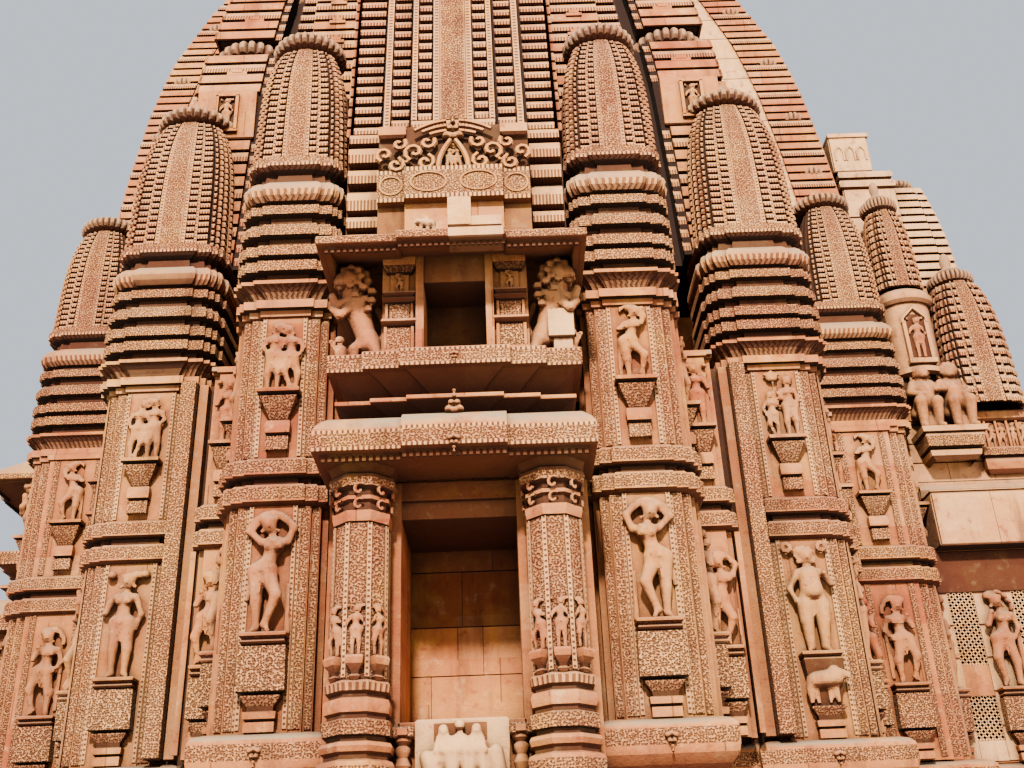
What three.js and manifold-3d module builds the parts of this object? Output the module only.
// A tall sandstone shrine tower: a square sanctum under a curved spire, ringed by
// carved piers that each carry a small spire, with a niche bay on three sides and
// a short vestibule on the east. Millimetres, +Z up, the south face towards -Y.
// The origin is on the ground under the middle of the sanctum.
import * as THREE from "three";
import { mergeVertices } from "three/addons/utils/BufferGeometryUtils.js";
import Module from "manifold-3d";

const wasm = await Module();
wasm.setup();

// Driving dimensions
const GAP = 0.3; // clearance between pieces that stand side by side
const PLINTH_TOP = 500;
const FLOOR_TOP = 650;
const STEP_RISE = 165; // the steps up to the floor, cut into the plinth at the doorway
const STEP_TREAD = 280;
const STEPS_START = 5000; // where the highest step meets the passage floor
const WALL_FOOT = 2760; // top of the base mouldings
const WALL_TOP = 5800; // where the eave mouldings start
const SPIRE_FOOT = 7120;
const SPIRE_TOP = 14850;

const CELL_HALF = 1560; // the sanctum room is 3.12 m square
const CORE_HALF = 3000; // outer face of the sanctum wall between the piers
const PASSAGE_HALF = 550; // half width of the doorway passage
const PASSAGE_TOP = 3350;

const SIDE_PIER_X = 1270; // centre of a side pier, along the wall
const SIDE_PIER_OUT = 3860; // centre of a side pier, out from the middle
const SIDE_PIER_HALF = 330;
const BAND_REACH = 45; // how far the two pier bands stand out
const CORNER_PIER_AT = 2600; // centre of a corner pier on both axes
const CORNER_PIER_HALF = 430;
const RECESS_PIER_HALF = 150; // the slim pilaster beside each corner pier
const RECESS_PIER_AT = 1865;
const RECESS_PIER_FACE = 3330;

const BAY_HALF = 860; // niche bay, half width
const BAY_FACE = 4400;
const BAY_FOOT = 2400; // the bay starts lower than the walls beside it
const NICHE_HALF = 380;
const NICHE_BACK = 3650;
const NICHE_TOP = 4240;
const PILLAR_AT = 615;
const PILLAR_OUT = 4550;
const PILLAR_RADIUS = 172;
const LOWER_EAVE = { foot: 4300, lip: 4500, crown: 4670, half: 910, face: 4930 };
const UPPER_FLOOR = { foot: 4980, top: 5150, face: 4760 };
const UPPER_NICHE = { half: 220, back: 4150, face: 4560, top: 5760 };
const UPPER_EAVE = { foot: 5830, top: 5980, half: 930, face: 5000, rise: 230 }; // heights at its front
const EAVE_NECK_OUT = 4330; // the eaves widen only in front of this line
const GABLE = { foot: 6600, top: 7340, half: 585, face: 4450 };

const VESTIBULE_FACE = 5600;
const VESTIBULE_HALF = 1300;
const VESTIBULE_EAVE = { foot: 4660, top: 5200, reach: 180 };
const GRILLE = { low: 2950, high: 4250, spans: [[4340, 4580], [4930, 5380]] };
const ROOF_LEDGE = 6120; // top of the ledge round the vestibule roof

// Blocks of the fronton, across its axis: [from x, to x, half width, foot, top]
const FRONTON_BLOCKS = [
  [4320, 5540, 1180, 5190, 6020], // the roof house
  [4320, 5570, 1240, 6010, ROOF_LEDGE],
  [4290, 5250, 820, ROOF_LEDGE - 10, 7600],
  [3207, 4360, BAY_HALF - 10, SPIRE_FOOT - 10, GABLE.top], // the seat of the half spire
  [4350, 4960, 800, 7590, 9200],
  [4350, 4950, 840, 9190, 9450], // a moulded course
  [4300, 4760, 790, 9440, 10000],
];
// Small spires in pairs on the roof: [x, distance from the axis, half width, foot, top, cushion radius]
const ROOF_SPIRES = [
  [5200, 1050, 360, ROOF_LEDGE - 10, 7650, 240],
  [4570, 1120, 240, 7510, 8600, 205],
  [5080, 450, 390, 7590, 9300, 230],
];
const ROOF_PANEL = { from: 4360, to: 4800, near: 800, far: 1350, foot: ROOF_LEDGE - 10, top: 7520 };

// Solids
function solidFrom(geometry) {
  const bare = geometry.clone();
  for (const name of Object.keys(bare.attributes)) {
    if (name !== "position") bare.deleteAttribute(name);
  }
  const merged = mergeVertices(bare, 1e-3);
  return new wasm.Manifold(
    new wasm.Mesh({
      numProp: 3,
      vertProperties: merged.attributes.position.array,
      triVerts: new Uint32Array(merged.index.array),
    }),
  );
}

function geometryFrom(solid) {
  const mesh = solid.getMesh();
  const geometry = new THREE.BufferGeometry();
  geometry.setAttribute("position", new THREE.BufferAttribute(mesh.vertProperties, 3));
  geometry.setIndex(new THREE.BufferAttribute(mesh.triVerts, 1));
  const flat = geometry.toNonIndexed();
  flat.computeVertexNormals();
  return flat;
}

const fuse = (parts) => parts.reduce((whole, part) => whole.add(part));

// A closed stack of outlines with equal point counts: rings is [[z, points], ...] upwards.
function stack(rings) {
  const count = rings[0][1].length;
  const positions = rings.flatMap(([z, points]) => points.flatMap(([x, y]) => [x, y, z]));
  const faces = [];
  for (let r = 0; r + 1 < rings.length; r++) {
    for (let i = 0; i < count; i++) {
      const a = r * count + i;
      const b = r * count + ((i + 1) % count);
      faces.push(a, b, b + count, a, b + count, a + count);
    }
  }
  const cap = (ring, flip) => {
    const contour = rings[ring][1].map(([x, y]) => new THREE.Vector2(x, y));
    for (const [a, b, c] of THREE.ShapeUtils.triangulateShape(contour, [])) {
      const base = ring * count;
      faces.push(...(flip ? [base + a, base + c, base + b] : [base + a, base + b, base + c]));
    }
  };
  cap(0, true);
  cap(rings.length - 1, false);
  const geometry = new THREE.BufferGeometry();
  geometry.setAttribute("position", new THREE.Float32BufferAttribute(positions, 3));
  geometry.setIndex(faces);
  return solidFrom(geometry);
}

const prism = (points, low, high) => stack([[low, points], [high, points]]);

const rectangle = (x0, x1, y0, y1) => [[x0, y0], [x1, y0], [x1, y1], [x0, y1]];

const block = (x0, x1, y0, y1, z0, z1) => prism(rectangle(x0, x1, y0, y1), z0, z1);

// A turned piece about the Z axis from a profile of [radius, z] that starts and ends on it.
function turned(profile, segments) {
  const points = profile.map(([radius, z]) => new THREE.Vector2(radius, z));
  const geometry = new THREE.LatheGeometry(points, segments);
  geometry.rotateX(Math.PI / 2);
  return solidFrom(geometry);
}

// Outlines
// A square cut back at its corners, from the corner points of one quarter as shares of its half width.
function cutSquare(cx, cy, half, quarter) {
  const points = [];
  for (let turn = 0; turn < 4; turn++) {
    const angle = (turn * Math.PI) / 2;
    const cos = Math.round(Math.cos(angle));
    const sin = Math.round(Math.sin(angle));
    for (const [x, y] of quarter) {
      points.push([cx + half * (x * cos - y * sin), cy + half * (x * sin + y * cos)]);
    }
  }
  return points;
}

const PIER_QUARTER = [[1, 0.54], [0.85, 0.85], [0.54, 1]];
const TURRET_QUARTER = [[1, 0.58], [0.58, 1]];
const pierOutline = (cx, cy, half) => cutSquare(cx, cy, half, PIER_QUARTER);
const turretOutline = (cx, cy, half) => cutSquare(cx, cy, half, TURRET_QUARTER);

// Moves each corner of a right-angled outline out by a distance.
function offset(points, distance) {
  const count = points.length;
  return points.map(([x, y], i) => {
    const [px, py] = points[(i + count - 1) % count];
    const [nx, ny] = points[(i + 1) % count];
    const before = [Math.sign(y - py), -Math.sign(x - px)];
    const after = [Math.sign(ny - y), -Math.sign(nx - x)];
    return [x + distance * (before[0] + after[0]), y + distance * (before[1] + after[1])];
  });
}

// The ground plan of the base: half of one side, out from the middle, as [along, out].
const PLAN_NICHE_SIDE = [[900, 4800], [900, 4280], [1650, 4280], [1650, 3050], [2090, 3050], [2090, 3120]];
const PLAN_EAST_SIDE = [[1320, 5630], [1320, 4280], [1650, 4280], [1650, 3050], [2090, 3050], [2090, 3120]];

function basePlan() {
  const points = [];
  for (let side = 0; side < 4; side++) {
    const half = side === 1 ? PLAN_EAST_SIDE : PLAN_NICHE_SIDE;
    const angle = (side * Math.PI) / 2;
    const cos = Math.round(Math.cos(angle));
    const sin = Math.round(Math.sin(angle));
    const along = [
      ...half.map(([a, out]) => [-a, -out]).reverse(),
      ...half.map(([a, out]) => [a, -out]),
      [3120, -3120],
    ];
    for (const [x, y] of along) points.push([x * cos - y * sin, x * sin + y * cos]);
  }
  return points;
}

// Colours
const SANDSTONE = { red: 0xb8745c, rose: 0xc0806a, ochre: 0xc8965a, pale: 0xcdb491, grey: 0x8a7a66 };

function named(name, solid, colour) {
  const material = new THREE.MeshStandardMaterial({ color: colour, roughness: 0.92, metalness: 0 });
  const mesh = new THREE.Mesh(geometryFrom(solid), material);
  mesh.name = name;
  return mesh;
}

const temple = new THREE.Group();

// Plinth and base mouldings
const plan = basePlan();

function makePlinth() {
  const footing = stack([
    [0, offset(plan, 210)],
    [430, offset(plan, 210)],
    [PLINTH_TOP, offset(plan, 160)],
  ]);
  const end = VESTIBULE_FACE + 500;
  const half = PASSAGE_HALF;
  const lowStep = block(STEPS_START + 2 * STEP_TREAD, end, -half, half, STEP_RISE, PLINTH_TOP + 50);
  const highStep = block(STEPS_START + STEP_TREAD, end, -half, half, 2 * STEP_RISE, PLINTH_TOP + 50);
  return footing.subtract(lowStep).subtract(highStep);
}

// [height, how far the profile stands out from the plan]
const BASE_PROFILE = [
  [PLINTH_TOP, 120], [740, 110], [1000, -40], [1110, 60], [1300, 110], [1490, 60], [1560, -60],
  [1640, 50], [1840, 50], [1900, -60], [2040, 90], [2250, -60], [2560, 40], [2690, 40],
  [WALL_FOOT, -20],
];

function makeBase() {
  const mass = stack(BASE_PROFILE.map(([z, out]) => [z, offset(plan, out)]));
  const room = block(-CELL_HALF, CELL_HALF, -CELL_HALF, CELL_HALF, FLOOR_TOP, WALL_FOOT + 100);
  const passage = block(0, VESTIBULE_FACE + 500, -PASSAGE_HALF, PASSAGE_HALF, FLOOR_TOP, WALL_FOOT + 100);
  const steps = block(STEPS_START, VESTIBULE_FACE + 500, -PASSAGE_HALF, PASSAGE_HALF, 0, FLOOR_TOP + 50);
  const seat = fuse([
    block(-BAY_HALF - GAP, BAY_HALF + GAP, -5000, -(CORE_HALF + GAP), BAY_FOOT, WALL_FOOT + 100),
    block(-1100, 1100, -5000, -4372, BAY_FOOT, WALL_FOOT + 100),
  ]);
  const seats = [0, 180, 270].map((angle) => seat.rotate([0, 0, angle])); // the east side is the entrance
  return mass.subtract(fuse([room, passage, steps, ...seats]));
}

temple.add(named("plinth", makePlinth(), SANDSTONE.grey));
temple.add(named("base_mouldings", makeBase(), SANDSTONE.rose));

// Spire
// [height, half width of the corner ribs]
const SPIRE_CURVE = [
  [SPIRE_FOOT, 2760], [8900, 2675], [9700, 2595], [10600, 2465], [11500, 2290], [12300, 2085],
  [12900, 1890], [13500, 1660], [14100, 1390], [14550, 1150], [SPIRE_TOP, 960],
];
// One eighth of the spire's plan as fractions of that half width: niche-side rib, side rib, corner rib.
const SPIRE_EIGHTH = [[0.31, 1.16], [0.31, 1.07], [0.67, 1.07], [0.67, 0.93], [0.73, 0.93], [0.73, 1]];
const MIDDLE_RIB_OUT = SPIRE_EIGHTH[0][1];
const MIDDLE_RIB_HALF = SPIRE_EIGHTH[0][0];
const SIDE_RIB_OUT = SPIRE_EIGHTH[1][1];

function spireOutline(half, grow) {
  const points = [];
  for (let side = 0; side < 4; side++) {
    const angle = (side * Math.PI) / 2;
    const cos = Math.round(Math.cos(angle));
    const sin = Math.round(Math.sin(angle));
    const along = [
      ...SPIRE_EIGHTH.map(([a, out]) => [-a * half, -out * half]).reverse(),
      ...SPIRE_EIGHTH.map(([a, out]) => [a * half, -out * half]),
      [half, -half],
    ];
    for (const [x, y] of along) points.push([x * cos - y * sin, x * sin + y * cos]);
  }
  return offset(points, grow);
}

const makeSpire = (grow) => stack(SPIRE_CURVE.map(([z, half]) => [z, spireOutline(half, grow)]));

temple.add(named("main_spire", makeSpire(0), SANDSTONE.rose));
const spireClearance = makeSpire(GAP);

// Crown of the spire
function makeNeck() {
  return turned([[0, SPIRE_TOP], [860, SPIRE_TOP], [800, 15050], [820, 15250], [0, 15250]], 24);
}

// The great ribbed cushion stone: a scalloped outline swelling and closing in height.
function makeCushionStone() {
  const ribs = 20;
  const rings = [[15250, 0.74], [15400, 0.95], [15600, 1], [15800, 0.95], [15950, 0.74]];
  return stack(
    rings.map(([z, share]) => {
      const points = [];
      for (let i = 0; i < ribs * 2; i++) {
        const angle = (i * Math.PI) / ribs;
        const radius = 1400 * share * (i % 2 ? 0.95 : 1);
        points.push([radius * Math.cos(angle), radius * Math.sin(angle)]);
      }
      return [z, points];
    }),
  );
}

function makeFinial() {
  return turned(
    [
      [0, 15950], [900, 15950], [960, 16060], [760, 16240], [380, 16360], [240, 16420], [210, 16520],
      [330, 16600], [470, 16800], [440, 17000], [250, 17160], [150, 17240], [230, 17330], [190, 17440],
      [90, 17620], [40, 17900], [0, 17980],
    ],
    16,
  );
}

temple.add(named("spire_neck", makeNeck(), SANDSTONE.red));
temple.add(named("ribbed_cushion_stone", makeCushionStone(), SANDSTONE.grey));
temple.add(named("pot_finial", makeFinial(), SANDSTONE.grey));

// Half spires on the four faces
// [height, how far its face stands out from the middle], at heights of the spire's own curve
const HALF_SPIRE_FACE = [
  [GABLE.top, 4300], [8900, 4170], [9700, 4090], [10600, 3970], [11100, 3870], [11500, 3760],
  [11900, 3580], [12300, 3400], [12900, 3050],
];
const EAST_FURTHER = 320; // the east half spire stands further out, over the vestibule
const CROWN_BACK = 420; // from the face at its top to the middle of its cushion

function curveAt(curve, z) {
  const next = curve.findIndex(([height]) => height >= z);
  if (next <= 0) return curve[0][1];
  const [z0, v0] = curve[next - 1];
  const [z1, v1] = curve[next];
  return v0 + ((v1 - v0) * (z - z0)) / (z1 - z0);
}

// The outline of a half spire at one height: three ribs stepping out, and a flat back.
function halfSpireOutline(z, face) {
  const rib = curveAt(SPIRE_CURVE, z);
  const half = rib * MIDDLE_RIB_HALF;
  const back = -(rib * MIDDLE_RIB_OUT + GAP);
  const depth = face + back;
  const sideFace = -(face - depth * 0.07);
  const cornerFace = -(face - depth * 0.14);
  return [
    [-half, back], [-half, cornerFace], [-half * 0.66, cornerFace], [-half * 0.66, sideFace],
    [-half * 0.42, sideFace], [-half * 0.42, -face], [half * 0.42, -face], [half * 0.42, sideFace],
    [half * 0.66, sideFace], [half * 0.66, cornerFace], [half, cornerFace], [half, back],
  ];
}

function makeHalfSpire(further) {
  const body = stack(HALF_SPIRE_FACE.map(([z, face]) => [z, halfSpireOutline(z, face + further)]));
  const [topZ, topFace] = HALF_SPIRE_FACE.at(-1);
  const cushion = turned(
    [[0, topZ - 40], [420, topZ], [640, topZ + 130], [640, topZ + 230], [420, topZ + 360], [0, topZ + 370]],
    16,
  );
  const finial = turned([[0, topZ + 300], [200, topZ + 360], [170, topZ + 620], [0, topZ + 800]], 8);
  const crown = cushion.add(finial).translate([0, -(topFace + further) + CROWN_BACK, 0]);
  return body.add(crown.subtract(spireClearance));
}

// Piers
// [height, how far the pier stands out from its shaft]
const PIER_PROFILE = [
  [WALL_FOOT, 0], [4270, 0], [4290, BAND_REACH], [4420, BAND_REACH], [4450, 5], [4480, BAND_REACH],
  [4610, BAND_REACH], [4630, 0], [WALL_TOP, 0],
];

// The front half of a pier's outline, with straight sides running back to the wall.
function engagedOutline(quarter, out, half, back) {
  const left = quarter.map(([x, y]) => [-half * x, -(out + half * y)]);
  const right = left.map(([x, y]) => [-x, y]).reverse();
  return [[-half, -back], ...left, ...right, [half, -back]];
}

const makeSidePier = () =>
  stack(
    PIER_PROFILE.map(([z, reach]) => [
      z,
      engagedOutline(PIER_QUARTER, SIDE_PIER_OUT, SIDE_PIER_HALF + reach, CORE_HALF + GAP),
    ]),
  );

// The corner of the sanctum wall that stands behind a corner pier or turret; the south-west one.
function cornerMass(z0, z1) {
  const inner = -(CELL_HALF + GAP);
  const innerSide = -(CORNER_PIER_AT - CORNER_PIER_HALF * 0.5);
  return block(-CORE_HALF, inner, innerSide, inner, z0, z1).add(
    block(innerSide, inner, -CORE_HALF, inner, z0, z1),
  );
}

// A corner pier with the slim pilasters beside it; the south-west one.
function makeCornerPier() {
  const low = RECESS_PIER_AT - RECESS_PIER_HALF;
  const high = RECESS_PIER_AT + RECESS_PIER_HALF;
  const inner = -CORE_HALF + 50;
  const southPilaster = block(-high, -low, -RECESS_PIER_FACE, inner, WALL_FOOT, WALL_TOP);
  const westPilaster = block(-RECESS_PIER_FACE, inner, -high, -low, WALL_FOOT, WALL_TOP);
  const pier = stack(
    PIER_PROFILE.map(([z, reach]) => [
      z,
      pierOutline(-CORNER_PIER_AT, -CORNER_PIER_AT, CORNER_PIER_HALF + reach),
    ]),
  );
  return fuse([pier, cornerMass(WALL_FOOT, WALL_TOP), southPilaster, westPilaster]);
}

// Turrets over the piers
const SIDE_TURRET_TOP = 8500;
const CORNER_TURRET_TOP = 8720;
// Eave mouldings and the small spire: [height, half width as a share of the eave half width].
const TURRET_PROFILE = [
  [5800, 1.02], [5870, 1.02], [5905, 0.85], [6020, 1.08], [6070, 0.92], [6120, 1.04], [6350, 1.03],
  [6390, 0.88], [6430, 1.03], [6720, 0.99], [6745, 0.88], [6860, 1.03], [7050, 0.82], [7200, 0.99],
];
// [share of the spire's height, share of its half width]
const TURRET_SPIRE = [[0, 0.99], [0.45, 0.91], [0.82, 0.73], [1, 0.55]];

function turretRings(spireTop) {
  const foot = TURRET_PROFILE.at(-1)[0];
  const spire = TURRET_SPIRE.slice(1).map(([rise, share]) => [foot + (spireTop - foot) * rise, share]);
  return [...TURRET_PROFILE, ...spire];
}

function turretCrown(cx, cy, radius, foot) {
  const profile = [
    [0, foot - 60], [radius * 0.55, foot - 20], [radius, foot + 75], [radius, foot + 130],
    [radius * 0.55, foot + 210], [radius * 0.36, foot + 330], [0, foot + 480],
  ];
  return turned(profile, 12).translate([cx, cy, 0]);
}

// The tower that rises behind a side turret: [height, how far its face stands out].
// Its heights are those of the spire's own curve, and its back leans against the spire.
const SECOND_TOWER_HALF = 262;
const SECOND_TOWER_INWARD = 140; // how far it stands nearer the middle than its turret
const SECOND_TOWER_FACE = [
  [TURRET_PROFILE.at(-1)[0], 3520], [8900, 3440], [9700, 3330], [10100, 3250],
];

function secondTower(sign) {
  const body = stack(
    SECOND_TOWER_FACE.map(([z, face]) => {
      const back = SIDE_RIB_OUT * curveAt(SPIRE_CURVE, z) + GAP;
      const half = SECOND_TOWER_HALF * (1 - 0.06 * ((z - SPIRE_FOOT) / 1000));
      return [z, engagedOutline([[1, 1]], face - half, half, back)];
    }),
  );
  const [top, face] = SECOND_TOWER_FACE.at(-1);
  const clear = spireClearance.translate([SECOND_TOWER_INWARD - SIDE_PIER_X, 0, 0]);
  const tower = body.add(turretCrown(0, -(face - 230), 285, top).subtract(clear));
  const right = tower.translate([-SECOND_TOWER_INWARD, 0, 0]);
  return sign < 0 ? right.mirror([1, 0, 0]) : right;
}

// The turret over a side pier; sign is -1 on the left, where its second tower stands to the right.
function makeSideTurret(sign) {
  const half = 375;
  const foot = TURRET_PROFILE.at(-1)[0];
  const eave = stack(
    TURRET_PROFILE.map(([z, share]) => [
      z,
      engagedOutline(TURRET_QUARTER, SIDE_PIER_OUT, half * share, CORE_HALF + GAP),
    ]),
  );
  const spire = stack(
    TURRET_SPIRE.map(([rise, share]) => [
      foot + (SIDE_TURRET_TOP - foot) * rise,
      turretOutline(0, -SIDE_PIER_OUT, half * share),
    ]),
  );
  const crown = turretCrown(0, -SIDE_PIER_OUT, 320, SIDE_TURRET_TOP - 20);
  return fuse([eave, spire, crown, secondTower(sign)]);
}

function makeCornerTurret() {
  const half = 470;
  const at = -CORNER_PIER_AT;
  const rings = turretRings(CORNER_TURRET_TOP);
  const body = stack(rings.map(([z, share]) => [z, turretOutline(at, at, half * share)]));
  const crown = turretCrown(at, at, 400, CORNER_TURRET_TOP - 20);
  return fuse([body, crown]).subtract(spireClearance).add(cornerMass(WALL_TOP, SPIRE_FOOT));
}

// Sanctum walls between the corner piers
function makeWall() {
  return block(-CELL_HALF, CELL_HALF, -CORE_HALF, -CELL_HALF, WALL_FOOT, SPIRE_FOOT);
}

// Niche bay
// Rings of a pillar: [height, radius].
const PILLAR_PROFILE = [
  [BAY_FOOT, 1.36], [2540, 1.36], [2600, 1.28], [2760, 1.22], [2890, 1.05], [2945, 1.2], [3000, 1.04],
  [3950, 1.0], [4010, 1.12], [4100, 1.0], [4160, 1.25], [LOWER_EAVE.foot, 1.3],
];

function makePillar(x) {
  const octagon = (radius) => {
    const points = [];
    for (let i = 0; i < 8; i++) {
      const angle = ((i + 0.5) * Math.PI) / 4;
      points.push([x + radius * Math.cos(angle), -PILLAR_OUT + radius * Math.sin(angle)]);
    }
    return points;
  };
  return stack(PILLAR_PROFILE.map(([z, share]) => [z, octagon(PILLAR_RADIUS * share)]));
}

function makeNicheBay() {
  const back = -(CORE_HALF + GAP);
  const mass = block(-BAY_HALF, BAY_HALF, -BAY_FACE, back, BAY_FOOT, LOWER_EAVE.foot);
  const niche = block(-NICHE_HALF, NICHE_HALF, -BAY_FACE - 100, -NICHE_BACK, WALL_FOOT, NICHE_TOP);
  return fuse([mass.subtract(niche), makePillar(-PILLAR_AT), makePillar(PILLAR_AT)]);
}

// A slab that is wider in front of the piers than between them.
function eaveOutline(half, face) {
  return [
    [-BAY_HALF, -(CORE_HALF + GAP)], [-BAY_HALF, -EAVE_NECK_OUT], [-half, -EAVE_NECK_OUT], [-half, -face],
    [half, -face], [half, -EAVE_NECK_OUT], [BAY_HALF, -EAVE_NECK_OUT], [BAY_HALF, -(CORE_HALF + GAP)],
  ];
}

// The upper eave tips down to the front: everything in front of its neck hangs lower.
function upperEaveSlab(low, high) {
  const { half, face, rise } = UPPER_EAVE;
  const slope = rise / (face - EAVE_NECK_OUT);
  return prism(eaveOutline(half, face), low, high).warp((point) => {
    point[2] += slope * Math.min(face + point[1], face - EAVE_NECK_OUT);
  });
}

function makeUpperShrine() {
  const { foot, lip, crown, half, face } = LOWER_EAVE;
  const slab = stack([
    [foot, eaveOutline(half, face)],
    [lip, eaveOutline(half, face)],
    [crown, eaveOutline(half - 60, face - 120)],
  ]);
  const back = -(CORE_HALF + GAP);
  const corbel = block(-BAY_HALF + 60, BAY_HALF - 60, -4420, back, crown - 10, UPPER_FLOOR.foot + 10);
  const floor = block(-BAY_HALF, BAY_HALF, -UPPER_FLOOR.face, back, UPPER_FLOOR.foot, UPPER_FLOOR.top);
  const { back: nicheBack, face: nicheFace, half: nicheHalf, top } = UPPER_NICHE;
  const highest = UPPER_EAVE.foot + UPPER_EAVE.rise;
  const mass = block(-BAY_HALF, BAY_HALF, -4330, back, UPPER_FLOOR.top - 10, highest);
  const jambs = block(-500, 500, -nicheFace, -4300, UPPER_FLOOR.top - 10, highest);
  const niche = block(-nicheHalf, nicheHalf, -nicheFace - 50, -nicheBack, UPPER_FLOOR.top + 40, top);
  const walls = mass.add(jambs).subtract(niche).subtract(upperEaveSlab(UPPER_EAVE.foot, UPPER_EAVE.top));
  return fuse([slab, corbel, floor, walls]);
}

function makeGable() {
  const back = -(CORE_HALF + GAP);
  const slab = upperEaveSlab(UPPER_EAVE.foot, UPPER_EAVE.top);
  const top = UPPER_EAVE.top + UPPER_EAVE.rise;
  const flanks = block(-BAY_HALF, BAY_HALF, -4150, back, top - 10, SPIRE_FOOT);
  const lowStep = block(-GABLE.half + 60, GABLE.half - 60, -4330, back, top - 10, GABLE.foot + 10);
  const panel = block(-GABLE.half, GABLE.half, -GABLE.face, -4100, GABLE.foot, 6950);
  const finBack = -(MIDDLE_RIB_OUT * SPIRE_CURVE[0][1] + 5);
  const fin = block(-GABLE.half + 30, GABLE.half - 30, -4380, -4100, 6900, GABLE.top);
  const seat = block(-BAY_HALF, BAY_HALF, -4120, finBack, SPIRE_FOOT - 10, GABLE.top);
  return fuse([slab, flanks, lowStep, panel, fin, seat]);
}

// One side of the tower, made facing south and turned to its place
const SIDES = [["south", 0], ["east", 1], ["north", 2], ["west", 3]];
const CORNERS = [["south_west", 0], ["south_east", 1], ["north_east", 2], ["north_west", 3]];

function turnedGroup(quarterTurns) {
  const group = new THREE.Group();
  group.rotation.z = (quarterTurns * Math.PI) / 2;
  temple.add(group);
  return group;
}

const sidePier = makeSidePier();
for (const [side, turns] of SIDES) {
  const group = turnedGroup(turns);
  for (const [hand, sign] of [["left", -1], ["right", 1]]) {
    const pier = named(`${side}_${hand}_pier`, sidePier, SANDSTONE.red);
    const turret = named(`${side}_${hand}_turret`, makeSideTurret(sign), SANDSTONE.rose);
    pier.position.x = sign * SIDE_PIER_X;
    turret.position.x = sign * SIDE_PIER_X;
    group.add(pier, turret);
  }
  group.add(named(`${side}_half_spire`, makeHalfSpire(side === "east" ? EAST_FURTHER : 0), SANDSTONE.ochre));
  if (side === "east") continue;
  group.add(
    named(`${side}_sanctum_wall`, makeWall(), SANDSTONE.red),
    named(`${side}_niche_bay`, makeNicheBay(), SANDSTONE.ochre),
    named(`${side}_upper_shrine`, makeUpperShrine(), SANDSTONE.rose),
    named(`${side}_gable`, makeGable(), SANDSTONE.red),
  );
}

const cornerPier = makeCornerPier();
const cornerTurret = makeCornerTurret();
for (const [corner, turns] of CORNERS) {
  turnedGroup(turns).add(
    named(`${corner}_corner_pier`, cornerPier, SANDSTONE.red),
    named(`${corner}_corner_turret`, cornerTurret, SANDSTONE.rose),
  );
}

// Vestibule on the east, with the doorway passage through it
function makeEastWall(sign) {
  const span = (near, far) => (sign < 0 ? [-far, -near] : [near, far]);
  const bar = (x0, x1, near, far, z0, z1) => block(x0, x1, ...span(near, far), z0, z1);
  const sanctum = bar(CELL_HALF, CORE_HALF, PASSAGE_HALF, CELL_HALF, WALL_FOOT, SPIRE_FOOT);
  const wallStart = SIDE_PIER_OUT + SIDE_PIER_HALF + BAND_REACH + GAP;
  const between = bar(CORE_HALF - 10, 4260, PASSAGE_HALF, BAY_HALF, WALL_FOOT, VESTIBULE_EAVE.foot);
  const outer = bar(wallStart, VESTIBULE_FACE, PASSAGE_HALF, VESTIBULE_HALF, WALL_FOOT, VESTIBULE_EAVE.foot);
  const windows = GRILLE.spans.map(([x0, x1]) =>
    bar(x0, x1, PASSAGE_HALF - 50, VESTIBULE_HALF + 50, GRILLE.low, GRILLE.high),
  );
  return windows.reduce((wall, window) => wall.subtract(window), fuse([sanctum, between, outer]));
}

// The roof over the passage: lintel, eave slab, and the fronton that steps up to the spire.
function makeFronton() {
  const { foot, top, reach } = VESTIBULE_EAVE;
  const inner = PASSAGE_HALF - GAP;
  const front = VESTIBULE_FACE + reach;
  const side = VESTIBULE_HALF + reach;
  const parts = [
    block(CELL_HALF, VESTIBULE_FACE, -inner, inner, PASSAGE_TOP, foot + 10),
    block(CELL_HALF, CORE_HALF + 10, -inner, inner, foot, SPIRE_FOOT),
    block(CORE_HALF + GAP, 4360, -BAY_HALF, BAY_HALF, foot, SPIRE_FOOT),
    block(4320, front, -side, side, foot, top),
  ];
  for (const [x0, x1, half, low, high] of FRONTON_BLOCKS) parts.push(block(x0, x1, -half, half, low, high));
  const { from, to, near, far } = ROOF_PANEL;
  parts.push(block(from, to, -far, -near, ROOF_PANEL.foot, ROOF_PANEL.top));
  parts.push(block(from, to, near, far, ROOF_PANEL.foot, ROOF_PANEL.top));
  for (const [x, out, half, low, high, radius] of ROOF_SPIRES) {
    parts.push(smallSpire(x, -out, half, low, high, radius), smallSpire(x, out, half, low, high, radius));
  }
  return fuse(parts).subtract(halfSpireClearance);
}

// A free small spire with its cushion stone, for the vestibule roof.
function smallSpire(cx, cy, half, foot, top, radius) {
  const rise = top - foot;
  const rings = [[0, 0.92], [0.05, 1], [0.4, 0.94], [0.7, 0.82], [0.9, 0.67], [1, 0.55]];
  const body = stack(rings.map(([t, share]) => [foot + rise * t, turretOutline(cx, cy, half * share)]));
  return body.add(turretCrown(cx, cy, radius, top - 20));
}

const halfSpireClearance = stack(
  HALF_SPIRE_FACE.map(([z, face]) => {
    const half = curveAt(SPIRE_CURVE, z) * MIDDLE_RIB_HALF + GAP;
    return [z, rectangle(-half, half, -(face + EAST_FURTHER + GAP), -2000)];
  }),
).rotate([0, 0, 90]);

temple.add(
  named("east_left_wall", makeEastWall(-1), SANDSTONE.red),
  named("east_right_wall", makeEastWall(1), SANDSTONE.red),
  named("vestibule_fronton", makeFronton(), SANDSTONE.pale),
);

export default temple;
